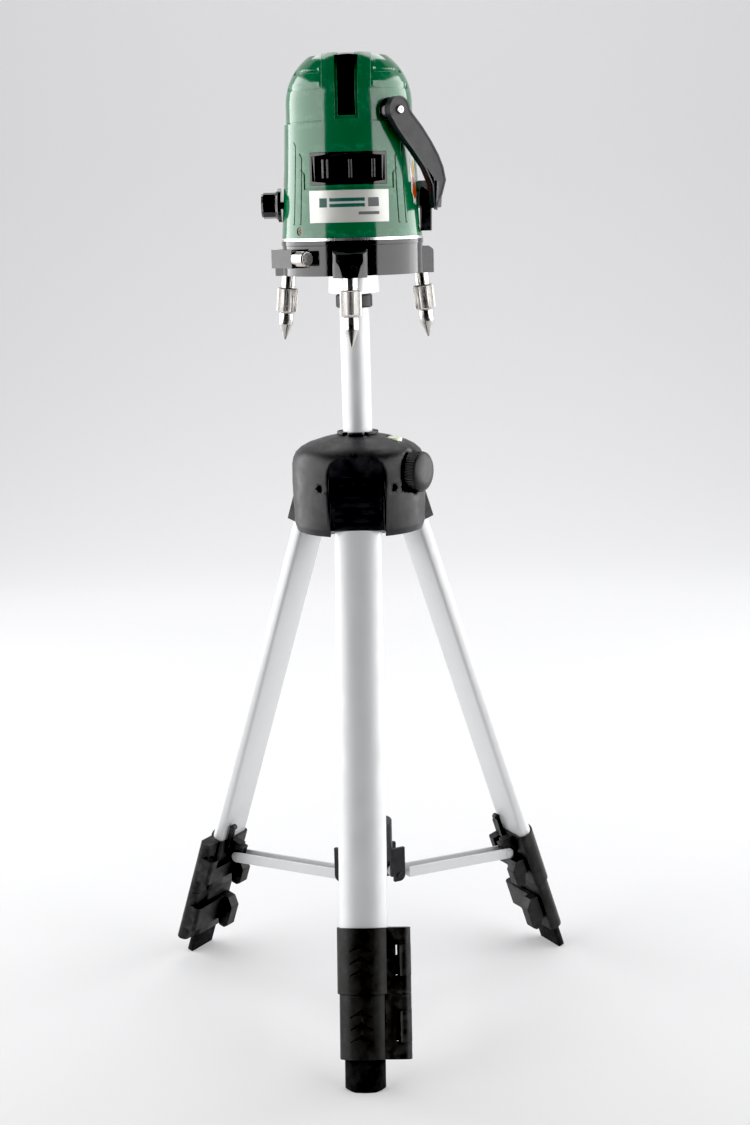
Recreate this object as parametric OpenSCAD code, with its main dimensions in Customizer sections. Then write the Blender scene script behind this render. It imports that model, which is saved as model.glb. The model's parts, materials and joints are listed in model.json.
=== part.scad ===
// Rotating laser level on a folding three-leg tripod.
// Millimetres. The origin is on the column axis at floor level, +Z is up and the instrument's
// front window looks along -Y. An azimuth of 0 is the front (-Y) and 90 is the right (+X).

/* [Tripod stance] */
// Lean of each leg from the vertical, degrees
leg_lean = 18.7; // [18.4:0.1:19]
// Height of the leg hinge pins above the floor
leg_pin_z = 434; // [430:1:438]
// Distance of each leg hinge pin from the column axis
leg_pin_r = 37; // [36.8:0.1:37.4]

/* [Legs] */
// Width of the outer leg tube
leg_w = 36.7; // [36:0.1:37]
// Depth of the leg tube outside its axis line
leg_nose = 9.1; // [8.9:0.1:9.3]
// Depth of the leg tube inside its axis line
leg_back = 6; // [5.8:0.1:6.2]
// Wall of the leg tubes
leg_wall = 1.2; // [1:0.1:1.4]
// Length of the upper clamp along the leg
upper_clamp_len = 49; // [48:0.5:50]
// Length of the lower clamp along the leg
lower_clamp_len = 47.6; // [47:0.1:48]

/* [Brace] */
// Width of a brace arm
arm_w = 12; // [11.5:0.1:12.2]
// Height of a brace arm
arm_h = 9; // [8.4:0.1:9.4]
// Distance of the inner brace pivots from the column axis
brace_pin_r = 24; // [23.5:0.1:24.5]

/* [Hub and column] */
// Largest radius of the hub
hub_r = 53.5; // [53:0.1:54]
// Distance of the three flats of the hub from the axis
hub_flat = 48.5; // [48:0.1:49]
// Height of the hub's lower rim above the floor
hub_base_z = 396; // [395:0.5:397]
// Diameter of the centre column
column_d = 23.6; // [23:0.1:24]
// Height of the column's lower end at rest
column_end_z = 265; // [255:1:275]

/* [Laser base] */
// Radius of the base drum
base_r = 55; // [54.5:0.1:55.2]
// Height of the underside of the base
base_z = 598; // [598:0.5:600]
// Radius of the circle of the levelling feet
screw_r = 61.5; // [61:0.1:62]
// Outward splay of the levelling feet, degrees
screw_splay = 6.5; // [6:0.1:7]

/* [Laser head] */
// Height of the lower rim of the head
head_z = 626.7; // [626.6:0.1:627]
// Height of the flat top of the head
head_top = 764; // [763:0.5:765]
// Radius of the head where its dome starts
neck_r = 50.2; // [50:0.1:50.4]
// Wall of the head's shell
shell_wall = 2.5; // [2.3:0.1:2.7]
// Width of the slot window over the top
slot_w = 17.5; // [17:0.1:18]
// Width of the horizontal window's bezel
bezel_w = 57.4; // [56:0.2:58]

/* [Carry handle] */
// Azimuth of the handle's pivot axis, degrees
handle_az = 41; // [40:1:42]
// Height of the handle's pivot axis
handle_z = 720; // [719:0.5:721]

/* [Hidden] */
$fn = 64;
run = 0.05;              // radial clearance of running fits
slack = 0.1;             // side clearance of sliding parts
far = 200;               // reach of a cutting block
legs = [0, 120, -120];   // azimuths of the front, right and left legs

hinge_pin_r = 2.5;
pin_hole_r = 3.6;
blind_az = 33;           // angle of the blind holes from the leg beside them
blind_r = 2.8;
pin_half = 31;           // half length of a leg hinge pin
slot_half = 21.6;        // half width of the hub's leg slots
slot_top_z = leg_pin_z + 8.6;
knuckle_r = 8.2;         // radius of the insert about its pin
hub_top_z = 474;
hub_shoulder_z = 471.6;  // where the ring round the column rises from the hub's top
hub_ring_r = 16.5;
knob_az = 60;            // azimuth of the column lock knob
knob_z = 444;
knob_r = 16;
knob_shaft_r = 3;
knob_in = 49.5;          // radius where the knob's grip starts
knob_grip = 10;
vial_az = 76;
vial_at_r = 30;
vial_z = 462;
vial_r = 6.5;

column_r = column_d / 2;
column_top_z = 576;
tube_top_w = 36;         // distances along the leg are measured from the hinge pin
upper_clamp_w = 339;
upper_grip_w = 362;      // the outer tube ends here inside the upper clamp
lower_clamp_w = upper_clamp_w + upper_clamp_len + 0.4;
lower_grip_w = 408;      // the middle tube ends here inside the lower clamp
boot_w = lower_clamp_w + lower_clamp_len;
leg_corner = 3.2;
mid_inset = 1.5;         // how far the middle tube lies inside the outer tube's outline
low_inset = 4.2;         // how far the lower tube lies inside the same outline
boot_inset = 3.05;
clamp_wall = 2;
lever_axle_r = 1.5;
chevron_pitch = 9;
brace_bolt_r = 1.6;      // the rivet at the outer end of a brace arm

lug_w = 353.7;           // the outer brace pivot, along the leg from the hinge pin
lug_in = 16.8;           // and inside the leg's axis line
lug_r = leg_pin_r + lug_w * sin(leg_lean) - lug_in * cos(leg_lean);
lug_z = leg_pin_z - lug_w * cos(leg_lean) - lug_in * sin(leg_lean);
brace_rise = 3.5;
brace_pin_z = lug_z + brace_rise;
arm_len = norm([lug_r - brace_pin_r, brace_rise]);
arm_tilt = atan2(brace_rise, lug_r - brace_pin_r);
arm_wall = 1.5;
sleeve_r = 19.5;
sleeve_low = 18;         // heights of the sleeve above the inner brace pivots
sleeve_high = 50;

lever_pin_x = 30.3;      // the lever's hinge line beside the leg
lever_pin_y = -0.6;
barrel_r = 5.2;
barrel_h = 23;

collar_r = 14.4;
collar_z = 571.8;
collar_top_z = 582.4;
disc_r = 20;
disc_z = 583.6;
disc_top_z = base_z - 0.05;
neck_pin_r = 7;          // the head's shank inside the column
stud_r = 7.9;            // 5/8 inch thread
stud_top_z = base_z + 11.6;
stud_chamfer = 1.2;
ring_z = 624.4;
lug_low_z = 597;
lug_top_z = 618;
lug_half = 13;
lug_end = 71;
lug_round = 16;          // radius of the lug's rounded end
drum_top_z = 621;
spindle_r = 6;
foot_shaft_r = 5.65;
knurl_r = 8.2;
tangent_az = -50;
tangent_r = 60.5;
tangent_z = 611.5;
tangent_out = 9;         // from its azimuth to the grip, along the knob's axis
tangent_shaft_r = 2.5;

dome_arc = 45.9;         // radius of the arc that rounds the head into its flat top
neck_z = 727;            // the height where that arc starts
flare = base_r - neck_r;
flare_power = 1.6;
window_low = 666;
window_high = 690;
slot_low = 714.5;
band_half = 18.5;        // half width of the raised band over the top
shoulder_z = 713.4;      // lower edge of the panels beside that band
shoulder_drop = 1.3;
shoulder_wall = 4.2;
slot_step = 1.8;         // depth of the slot's full width
slot_inner = 6.5;        // half width of the opening below that
slot_full_z = 752;       // the glass fills the slot from here up
glass_y = -43.6;         // front of the window's flat glass
glass_t = 1.5;
glass_x = 25.3;          // half width of the glass's seat
glass_low = 669.2;
glass_high = 687.3;
groove_half = 0.5;
groove_depth = 0.7;
turntable_r = 51.6;
plate_top_z = head_z + 3.3;  // top of the plate inside the head
post_at_r = 37;
screw_z = 632;
screws_az = [-45, 75, 195];
housing_screw_r = 1.5;
screw_head_r = 2.9;
screw_seat = 53;         // radius of the floor of the screws' recesses
handle_in = 55;          // inner and outer faces of the handle's arms
handle_out = 61;
bail_r = 66;
gimbal_z = 718;
power_z = 652;
cover_az = 93;
handle_sides = [0, 180];
handle_pin_r = 2;
power_shaft_r = 3;
button_x = 25;
button_r = 4;
axle_r = 1.5;            // pivots of the gimbal

// ---- placing ----

// Turns geometry built at the front to an azimuth.
module at_azimuth(a) {
    rotate([0, 0, a]) children();
}

// The child's +Z becomes the outward radial direction at this azimuth and height.
module radial(a, z) {
    at_azimuth(a) translate([0, 0, z]) rotate([90, 0, 0]) children();
}

// The leg's own frame: origin on its hinge pin, +Z up the leg, -Y outward, +X along the pin.
module leg_frame(a) {
    at_azimuth(a)
        translate([0, -leg_pin_r, leg_pin_z])
            rotate([-leg_lean, 0, 0]) children();
}

// A block given by its two corners.
module block(low, high) {
    translate(low) cube(high - low);
}

// A round bar along X between two stations.
module bar_x(r, x1, x2) {
    translate([x1, 0, 0]) rotate([0, 90, 0]) cylinder(r = r, h = x2 - x1);
}

// A round tube along Z between two heights.
module ring(r_out, r_in, z1, z2) {
    translate([0, 0, z1])
        linear_extrude(z2 - z1)
            difference() {
                circle(r_out);
                circle(r_in);
            }
}

// ---- leg profile ----

// The outline of the leg tube, a half ellipse in front of a flat back, drawn in by an inset.
function leg_outline(inset) =
    let (
        half = leg_w / 2 - inset,
        nose = leg_nose - inset,
        back = leg_back - inset,
        corner = min(max(leg_corner - inset, 0.8), back / 2)
    )
    concat(
        [for (t = [0:9:180]) [half * cos(t), -nose * sin(t)]],
        [for (t = [180:-30:90]) [corner - half + corner * cos(t), back - corner + corner * sin(t)]],
        [for (t = [90:-30:0]) [half - corner + corner * cos(t), back - corner + corner * sin(t)]]
    );

// A stretch of that profile between two distances from the hinge pin.
module leg_stretch(inset, w1, w2) {
    translate([0, 0, -w2]) linear_extrude(w2 - w1) polygon(leg_outline(inset));
}

module leg_section(outer, inner, w1, w2) {
    translate([0, 0, -w2])
        linear_extrude(w2 - w1)
            difference() {
                polygon(leg_outline(outer));
                polygon(leg_outline(inner));
            }
}

// ---- tripod head ----

module hub_blank() {
    difference() {
        rotate_extrude()
            polygon([
                [0, hub_base_z], [hub_r - 3, hub_base_z], [hub_r - 1, hub_base_z + 6],
                [hub_r, leg_pin_z], [hub_r - 0.3, 449], [hub_r - 1.3, 454], [hub_r - 3.5, 458.4],
                [hub_r - 7.5, 462], [40, 465.2], [28, 469], [hub_ring_r, hub_shoulder_z],
                [hub_ring_r, hub_top_z], [0, hub_top_z]
            ]);
        for (a = legs)
            at_azimuth(a) block([-far, -far, hub_base_z - 1], [far, -hub_flat, hub_top_z + 1]);
        // notches in the ring round the column
        for (a = [25:60:325])
            at_azimuth(a) block([-2, -far, hub_shoulder_z + 0.5], [2, -column_r, hub_top_z + 1]);
    }
}

module hub_body() {
    color("#2b2c2f")
        difference() {
            hub_blank();
            for (a = legs)
                at_azimuth(a) {
                    block([-slot_half, -far, hub_base_z - 1], [slot_half, -24, slot_top_z]);
                    translate([0, -leg_pin_r, leg_pin_z]) {
                        bar_x(hinge_pin_r, -pin_half, pin_half);
                        // the hole the hinge pin is pressed in through, on the side turned to the back
                        if (a < 0) bar_x(pin_hole_r, -hub_r, -pin_half);
                        else bar_x(pin_hole_r, pin_half, hub_r);
                    }
                }
            // blind holes beside the leg slots
            for (a = legs, side = [-1, 1])
                radial(a + side * blind_az, leg_pin_z)
                    translate([0, 0, 50]) cylinder(r = blind_r, h = hub_r);
            // pockets that lighten the three corners
            for (a = [knob_az, 180, -knob_az])
                at_azimuth(a)
                    translate([0, -38, hub_base_z - 1]) cylinder(r = 7.5, h = 40);
            translate([0, 0, hub_base_z - 1])
                cylinder(r = column_r + run, h = hub_top_z - hub_base_z + 2);
            radial(knob_az, knob_z) {
                cylinder(r = knob_shaft_r + run, h = hub_r);
                translate([0, 0, knob_in - 2.5]) cylinder(r = knob_r + 1.2, h = 20);
            }
            // seat of the bubble vial
            at_azimuth(vial_az) translate([0, -vial_at_r, vial_z]) cylinder(r = vial_r, h = 20);
        }
}

module bubble_vial() {
    rim_z = 7;
    color("#d9e6c4")
        at_azimuth(vial_az) translate([0, -vial_at_r, vial_z])
            union() {
                cylinder(r = vial_r, h = rim_z);
                translate([0, 0, rim_z]) cylinder(r1 = vial_r - 0.9, r2 = vial_r - 3.1, h = 1);
            }
}

module leg_hinge_pins() {
    color("silver")
        for (a = legs)
            at_azimuth(a)
                translate([0, -leg_pin_r, leg_pin_z]) bar_x(hinge_pin_r, -pin_half, pin_half);
}

module column_lock_knob() {
    shaft_in = column_r + 0.3;
    cap = knob_in + knob_grip;
    color("#1f2023")
        radial(knob_az, knob_z) {
            translate([0, 0, shaft_in]) cylinder(r = knob_shaft_r, h = knob_in + 1 - shaft_in);
            difference() {
                union() {
                    translate([0, 0, knob_in]) cylinder(r = knob_r, h = knob_grip);
                    translate([0, 0, cap]) cylinder(r1 = knob_r, r2 = knob_r - 3, h = 2.2);
                    translate([0, 0, cap + 2.2]) cylinder(r1 = knob_r - 3, r2 = knob_r - 9, h = 1.6);
                }
                for (k = [0:30:330])
                    rotate([0, 0, k])
                        translate([knob_r + 0.8, 0, knob_in + 1.5])
                            cylinder(r = 1.6, h = knob_grip - 3);
            }
        }
}

// ---- column ----

module column_tube() {
    color("#e4e6e8") ring(column_r, column_r - 1.5, column_end_z, column_top_z);
}

module column_collar() {
    bevel = 1.2;
    color("#303134")
        difference() {
            rotate_extrude()
                polygon([
                    [0, collar_z], [collar_r - bevel, collar_z], [collar_r, collar_z + bevel],
                    [collar_r, collar_top_z - bevel], [collar_r - bevel, collar_top_z],
                    [0, collar_top_z]
                ]);
            translate([0, 0, collar_z - 1])
                cylinder(r = column_r, h = column_top_z - collar_z + 1);
            translate([0, 0, collar_z - 1])
                cylinder(r = neck_pin_r, h = collar_top_z - collar_z + 2);
        }
}

module column_head() {
    color("#eceef0")
        union() {
            translate([0, 0, disc_z]) cylinder(r = disc_r, h = disc_top_z - disc_z);
            translate([0, 0, collar_top_z]) cylinder(r = 12, h = disc_z - collar_top_z);
            translate([0, 0, 560]) cylinder(r = neck_pin_r, h = collar_top_z - 560);
            translate([0, 0, disc_top_z])
                cylinder(r = stud_r, h = stud_top_z - disc_top_z - stud_chamfer);
            translate([0, 0, stud_top_z - stud_chamfer])
                cylinder(r1 = stud_r, r2 = stud_r - stud_chamfer, h = stud_chamfer);
        }
}

// ---- legs ----

module leg_insert(a) {
    color("#242528")
        leg_frame(a)
            difference() {
                union() {
                    bar_x(knuckle_r, -slot_half + 0.3, slot_half - 0.3);
                    block([-slot_half + 0.3, -knuckle_r, -tube_top_w], [slot_half - 0.3, 7, 0]);
                    leg_stretch(leg_wall, tube_top_w, tube_top_w + 26);
                }
                bar_x(hinge_pin_r + run, -far, far);
                // moulded ribs across the outer face
                for (w = [6:6:30])
                    block([-18, -knuckle_r - 1, -w - 2], [18, 1 - knuckle_r, -w]);
            }
}

module leg_tube(a) {
    color("#eceef0") leg_frame(a) leg_section(0, leg_wall, tube_top_w, upper_grip_w);
}

module mid_tube(a) {
    color("#e4e6e8")
        leg_frame(a) leg_section(mid_inset, mid_inset + leg_wall, 70, lower_grip_w);
}

module lower_tube(a) {
    color("#dfe1e4")
        leg_frame(a) leg_section(low_inset, low_inset + leg_wall, 84, boot_w + 11);
}

// The ear beside a clamp that carries the lever: a web, two barrels and the lever's pin.
module clamp_ear(w1, w2, root_x) {
    middle = (w1 + w2) / 2;
    difference() {
        union() {
            block([root_x, lever_pin_y - barrel_r, -w2], [lever_pin_x, lever_pin_y + barrel_r, -w1]);
            translate([lever_pin_x, lever_pin_y, -w2]) cylinder(r = barrel_r, h = w2 - w1);
        }
        block(
            [lever_pin_x - 6.3, -far, -middle - barrel_h / 2 - slack],
            [far, far, -middle + barrel_h / 2 + slack]
        );
    }
    translate([lever_pin_x, lever_pin_y, -w2 + 3]) cylinder(r = lever_axle_r, h = w2 - w1 - 6);
}

// Three arrows pointing up the leg, sunk into the clamp's outer face to the given inset.
module chevrons(w_mid, floor_inset) {
    difference() {
        for (k = [-1:1])
            translate([-2, 0, -w_mid + chevron_pitch * k + 2])
                rotate([90, 0, 0])
                    linear_extrude(far)
                        polygon([[0, 2.2], [8.6, -3.6], [7.9, -4.5], [0, -1.4], [-7.9, -4.5], [-8.6, -3.6]]);
        leg_stretch(floor_inset, w_mid - 30, w_mid + 30);
    }
}

module upper_clamp(a) {
    w2 = upper_clamp_w + upper_clamp_len;
    color("#26272a")
        leg_frame(a)
            difference() {
                union() {
                    leg_stretch(-clamp_wall, upper_clamp_w, w2);
                    clamp_ear(upper_clamp_w, w2, leg_w / 2 - 1);
                    // tongue that carries the brace arm
                    block([-4.2, leg_back, -lug_w - 3], [4.2, lug_in, -upper_clamp_w - 2]);
                    translate([0, lug_in, -lug_w]) bar_x(3.1, -4.2, 4.2);
                    block([-4.2, lug_in - 4, -lug_w], [4.2, lug_in + 3.1, -upper_clamp_w - 4]);
                    // storage clip above the rim
                    block([8.5, leg_back + 1.5, -upper_clamp_w - 6], [13, leg_back + 5, 14 - upper_clamp_w]);
                    translate([8.5, leg_back + 3.6, 14 - upper_clamp_w]) bar_x(2.6, 0, 4.5);
                }
                chevrons((upper_clamp_w + w2) / 2, 0.8 - clamp_wall);
                leg_stretch(0, upper_clamp_w - 20, upper_grip_w);
                leg_stretch(mid_inset - 0.08, upper_grip_w - 1, w2 + 1);
                translate([0, lug_in, -lug_w]) bar_x(brace_bolt_r + run, -6, 6);
            }
}

module lower_clamp(a) {
    w2 = lower_clamp_w + lower_clamp_len;
    color("#26272a")
        leg_frame(a)
            difference() {
                union() {
                    leg_stretch(mid_inset - clamp_wall, lower_clamp_w, w2);
                    clamp_ear(lower_clamp_w, w2, leg_w / 2 - 2.5);
                }
                chevrons((lower_clamp_w + w2) / 2, mid_inset + 0.8 - clamp_wall);
                leg_stretch(mid_inset, lower_clamp_w - 1, lower_grip_w);
                leg_stretch(low_inset - 0.08, lower_grip_w - 1, w2 + 1);
            }
}

// The over-centre lever: barrel, plate across the clamp's back and a thumb tab.
module clamp_lever(w_mid, plate_w1, plate_w2, tab_w2, back_y) {
    bottom = -w_mid - barrel_h / 2;
    tab_y = back_y + 14;
    difference() {
        union() {
            translate([lever_pin_x, lever_pin_y, bottom]) cylinder(r = barrel_r, h = barrel_h);
            block(
                [lever_pin_x - 4.4, lever_pin_y, bottom],
                [lever_pin_x + barrel_r, back_y + 2, bottom + barrel_h]
            );
            translate([lever_pin_x + barrel_r - 4, back_y, bottom])
                intersection() {
                    cylinder(r = 4, h = barrel_h);
                    block([0, 0, -1], [far, far, barrel_h + 1]);
                }
            block([lever_pin_x - 4.4, back_y, bottom], [lever_pin_x + 1.2, back_y + 4, bottom + barrel_h]);
            block([-14, back_y, -plate_w2], [lever_pin_x, back_y + 4, -plate_w1]);
            translate([-14, 0, 0])
                rotate([90, 0, 90])
                    linear_extrude(11)
                        polygon([
                            [back_y, -plate_w1], [tab_y - 6, -plate_w1], [tab_y, -plate_w1 - 7],
                            [tab_y, -tab_w2 + 3], [tab_y - 3, -tab_w2], [tab_y - 8, -tab_w2],
                            [back_y + 3, -plate_w2], [back_y, -plate_w2]
                        ]);
        }
        translate([lever_pin_x, lever_pin_y, bottom - 1])
            cylinder(r = lever_axle_r + run, h = barrel_h + 2);
    }
}

module upper_lever(a) {
    middle = upper_clamp_w + upper_clamp_len / 2;
    color("#1d1e20")
        leg_frame(a)
            clamp_lever(middle, 360.5, middle + barrel_h / 2, 384, leg_back + clamp_wall + 0.3);
}

module lower_lever(a) {
    middle = lower_clamp_w + lower_clamp_len / 2;
    color("#1d1e20")
        leg_frame(a)
            clamp_lever(
                middle, middle - barrel_h / 2, middle + barrel_h / 2, middle + 18,
                leg_back + clamp_wall - mid_inset + 0.3
            );
}

module rubber_foot(a) {
    tip_w = 472;
    color("#2a2a2b")
        difference() {
            leg_frame(a)
                difference() {
                    intersection() {
                        leg_stretch(boot_inset, boot_w, tip_w);
                        translate([0, far / 2, -432]) rotate([90, 0, 0]) cylinder(r = 29, h = far);
                    }
                    leg_stretch(low_inset, boot_w - 1, boot_w + 11);
                }
            at_azimuth(a) block([-far, -far * 2, -far], [far, 0, 0]);
        }
}

module brace_arm(a) {
    half = arm_w / 2;
    inner = half - arm_wall;
    color("#e8eaec")
        at_azimuth(a)
            translate([0, -lug_r, lug_z])
                rotate([arm_tilt, 0, 0])
                    difference() {
                        union() {
                            bar_x(arm_h / 2, -half, half);
                            block([-half, 0, -arm_h / 2], [half, arm_len, arm_h / 2]);
                            translate([0, arm_len, 0]) bar_x(arm_h / 2, -half, half);
                        }
                        // the channel is open along its top and at both ends
                        block([-inner, -arm_h, arm_wall - arm_h / 2], [inner, arm_len + arm_h, arm_h]);
                        block([-inner, -arm_h, -arm_h], [inner, 7, arm_h]);
                        // only the +X flange reaches the inner pivot
                        block([-far, arm_len - 11, -arm_h], [inner, arm_len + arm_h, arm_h]);
                    }
    // the outer rivet
    color("silver")
        at_azimuth(a)
            translate([0, -lug_r, lug_z]) {
                bar_x(brace_bolt_r, -half - 0.8, half + 0.8);
                bar_x(2.6, -half - 0.9, -half);
                bar_x(2.6, half, half + 0.9);
            }
}

module brace_hub() {
    ear_in = arm_w / 2 + 0.3;
    color("#242528")
        union() {
            ring(sleeve_r, column_r + 0.8, brace_pin_z + sleeve_low, brace_pin_z + sleeve_high);
            for (a = legs, side = [-1, 1])
                at_azimuth(a)
                    translate([0, 0, brace_pin_z]) {
                        x1 = side > 0 ? ear_in : -ear_in - 3;
                        block([x1, -brace_pin_r - 5, 0], [x1 + 3, -16, sleeve_low + 6]);
                        translate([x1, -brace_pin_r, 0]) bar_x(5, 0, 3);
                        block([x1, -brace_pin_r, -5], [x1 + 3, -19, 0]);
                        x2 = side > 0 ? ear_in + 3 : -ear_in - 3.8;
                        translate([x2, -brace_pin_r, 0]) bar_x(2.8, 0, 0.8);
                    }
        }
}

// ---- laser base ----

// A lug with a rounded end whose top slopes down outwards.
module base_lug() {
    round_y = -lug_end + lug_round;
    intersection() {
        union() {
            block([-lug_half, round_y, lug_low_z], [lug_half, -40, lug_top_z]);
            intersection() {
                translate([0, round_y, lug_low_z])
                    cylinder(r = lug_round, h = lug_top_z - lug_low_z);
                block([-lug_half, -lug_end - 1, lug_low_z], [lug_half, round_y, lug_top_z]);
            }
        }
        translate([-lug_half - 1, 0, 0])
            rotate([90, 0, 90])
                linear_extrude(2 * lug_half + 2)
                    polygon([
                        [-39, lug_low_z - 1], [-39, lug_top_z + 1], [-60, lug_top_z + 1],
                        [-61.5, lug_top_z], [-67.5, lug_top_z - 3.6], [-lug_end, lug_top_z - 8.4],
                        [-lug_end - 1, lug_top_z - 10], [-lug_end - 1, lug_low_z - 1]
                    ]);
    }
}

module foot_axis(a) {
    at_azimuth(a) translate([0, -screw_r, lug_low_z]) rotate([-screw_splay, 0, 0]) children();
}

module base_body() {
    post_top_z = 623.5;
    color("#1b1c1e")
        difference() {
            union() {
                translate([0, 0, base_z]) cylinder(r = base_r, h = drum_top_z - base_z);
                translate([0, 0, drum_top_z]) cylinder(r = base_r + 0.5, h = ring_z - drum_top_z);
                for (a = legs) at_azimuth(a) base_lug();
                // boss that carries the tangent knob
                at_azimuth(tangent_az)
                    block([-18, -tangent_r - 5, tangent_z - 7], [tangent_out - 0.5, -48, tangent_z + 7]);
            }
            // the drum is hollow round a central post
            ring(base_r - 5, 13, 604, 634);
            translate([0, 0, post_top_z]) cylinder(r = base_r - 5, h = 10);
            translate([0, 0, base_z - 1]) cylinder(r = stud_r + run, h = 13);
            translate([0, 0, 612]) cylinder(r = spindle_r + run, h = 20);
            for (a = legs)
                foot_axis(a) translate([0, 0, -3]) cylinder(r = foot_shaft_r + run, h = 22);
            at_azimuth(tangent_az)
                translate([0, -tangent_r, tangent_z]) bar_x(tangent_shaft_r + run, -17, far);
        }
}

module graduated_ring() {
    color("#d4d6d8") ring(base_r + 0.3, 48, ring_z, head_z - 0.1);
}

module levelling_foot(a) {
    knurl_at = 10;
    knurl_len = 19.2;
    bevel = 0.8;
    point_r = 5.75;
    color("#c9cbce")
        foot_axis(a)
            rotate([180, 0, 0]) {
                translate([0, 0, -13]) cylinder(r = foot_shaft_r, h = 24);
                translate([0, 0, knurl_at]) cylinder(r1 = knurl_r - bevel, r2 = knurl_r, h = bevel);
                translate([0, 0, knurl_at + bevel]) cylinder(r = knurl_r, h = knurl_len - 2 * bevel);
                translate([0, 0, knurl_at + knurl_len - bevel])
                    cylinder(r1 = knurl_r, r2 = knurl_r - bevel, h = bevel);
                translate([0, 0, knurl_at + knurl_len]) cylinder(r = point_r, h = 9.6);
                translate([0, 0, knurl_at + knurl_len + 9.6])
                    cylinder(r1 = point_r, r2 = 0.9, h = 13);
            }
}

module tangent_knob() {
    grip_r = 5.9;
    grip_end = tangent_out + 12.4;
    color("#dfe1e3")
        at_azimuth(tangent_az)
            translate([0, -tangent_r, tangent_z]) {
                bar_x(tangent_shaft_r, -16.8, tangent_out);
                bar_x(grip_r, tangent_out, grip_end);
                translate([grip_end, 0, 0])
                    rotate([0, 90, 0]) cylinder(r1 = grip_r, r2 = grip_r - 1, h = 1);
            }
}

// ---- laser head ----

function head_r(z) = neck_r + flare * pow(max(neck_z - z, 0) / (neck_z - head_z), flare_power);

// The head's outline drawn in by an inset: a flared wall, an arc and a flat top.
function head_outline(inset, drop) =
    let (
        arc = dome_arc - inset,
        arc_r = neck_r - dome_arc,
        last = asin((head_top - inset - neck_z) / arc)
    )
    concat(
        [[0, head_z - drop]],
        drop > 0 ? [[head_r(head_z) - inset, head_z - drop]] : [],
        [for (k = [0:10]) let (z = head_z + (neck_z - head_z) * k / 10) [head_r(z) - inset, z]],
        [for (k = [1:12]) [arc_r + arc * cos(last * k / 12), neck_z + arc * sin(last * k / 12)]],
        [[0, head_top - inset]]
    );

module head_solid(inset, drop = 0) {
    rotate_extrude() polygon(head_outline(inset, drop));
}

// The part of a skin between two insets that lies inside the child shape.
module head_skin(outer, inner) {
    intersection() {
        children();
        difference() {
            head_solid(outer);
            head_solid(inner, 1);
        }
    }
}

module front_window(w, z1, z2) {
    block([-w / 2, -far, z1], [w / 2, 0, z2]);
}

// One louvre of the shoulders: deepest at its ledge and flush again above it.
module shoulder_louvre(ledge, height, depth) {
    r_low = sqrt(pow(dome_arc, 2) - pow(ledge - neck_z, 2)) + neck_r - dome_arc;
    r_high = sqrt(pow(dome_arc, 2) - pow(ledge + height - neck_z, 2)) + neck_r - dome_arc;
    difference() {
        rotate_extrude()
            polygon([
                [r_low - depth, ledge], [r_low + 9, ledge], [r_low + 9, ledge + height],
                [r_high, ledge + height]
            ]);
        block([-20.5, -far, 0], [20.5, far, head_top + 9]);
        block([-far, -12, 0], [far, 12, head_top + 9]);
    }
}

// The panels either side of the band over the top.
module shoulder_blocks() {
    for (side = [-1, 1])
        block(
            [side > 0 ? band_half : -far, -far, shoulder_z],
            [side > 0 ? far : -band_half, far, head_top + 9]
        );
}

// A line down the front at x = 0 that hooks to one side at its top.
module hooked_line(side, z1, z2) {
    block([-groove_half, -far, z1], [groove_half, 0, z2]);
    translate([0, 0, z2 - groove_half])
        rotate([0, side * 38, 0]) block([-groove_half, -far, 0], [groove_half, 0, 4.4]);
}

module grooves() {
    for (side = [-1, 1]) {
        at_azimuth(side * 43.5) hooked_line(side, 637.5, 687);
        at_azimuth(side * 52) hooked_line(side, 637.5, 696);
        translate([side * 33.5, 0, 0]) hooked_line(side, 664, 675);
    }
    front_window(68, 663, 664);
    for (side = [-1, 1], a = [43.5, 52])
        at_azimuth(side * a) block([-1.6, -far, 636.8], [1.6, 0, 637.6]);
}

// The line that closes the shoulder panels at their foot.
module shoulder_line() {
    difference() {
        block([-far, -far, shoulder_z - 1], [far, far, shoulder_z]);
        block([-band_half, -far, 0], [band_half, far, head_top]);
    }
}

// The space inside the housing, whose shoulders are thicker than its wall.
module housing_cavity() {
    head_solid(shoulder_wall, 1);
    intersection() {
        head_solid(shell_wall, 1);
        block([-far, -far, 0], [far, far, shoulder_z - 5]);
    }
}

module housing_shell() {
    color("#0c7d4e")
        difference() {
            head_solid(0);
            housing_cavity();
            front_window(bezel_w + 0.2, window_low - slack, window_high + slack);
            head_skin(-1, slot_step)
                block([-slot_w / 2, -far, slot_low], [slot_w / 2, far, head_top - 2.5]);
            block([-slot_inner, -far, slot_low + 2.4], [slot_inner, far, head_top + 9]);
            head_skin(-1, shoulder_drop) shoulder_blocks();
            shoulder_louvre(736.8, 9, 2.7);
            shoulder_louvre(748.8, 8, 2.7);
            head_skin(-1, groove_depth) grooves();
            head_skin(-1, shoulder_drop + 0.6) shoulder_line();
            for (a = screws_az)
                radial(a, screw_z) {
                    cylinder(r = housing_screw_r + slack, h = far);
                    translate([0, 0, screw_seat]) cylinder(r = screw_head_r + 0.35, h = far);
                }
            for (side = handle_sides)
                radial(handle_az + side, handle_z) cylinder(r = handle_pin_r, h = far);
            radial(-90, power_z) cylinder(r = power_shaft_r + run, h = far);
            radial(cover_az, 646) translate([-15, -14, 40]) cube([30, 28, 30]);
            translate([button_x, 0, 700]) cylinder(r = button_r + run, h = 100);
        }
    // bosses the handle turns on
    color("#1b1c1e")
        for (side = handle_sides)
            radial(handle_az + side, handle_z)
                difference() {
                    translate([0, 0, 47.6]) cylinder(r = 9.6, h = handle_in - 0.3 - 47.6);
                    cylinder(r = handle_pin_r, h = far);
                }
}

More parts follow.
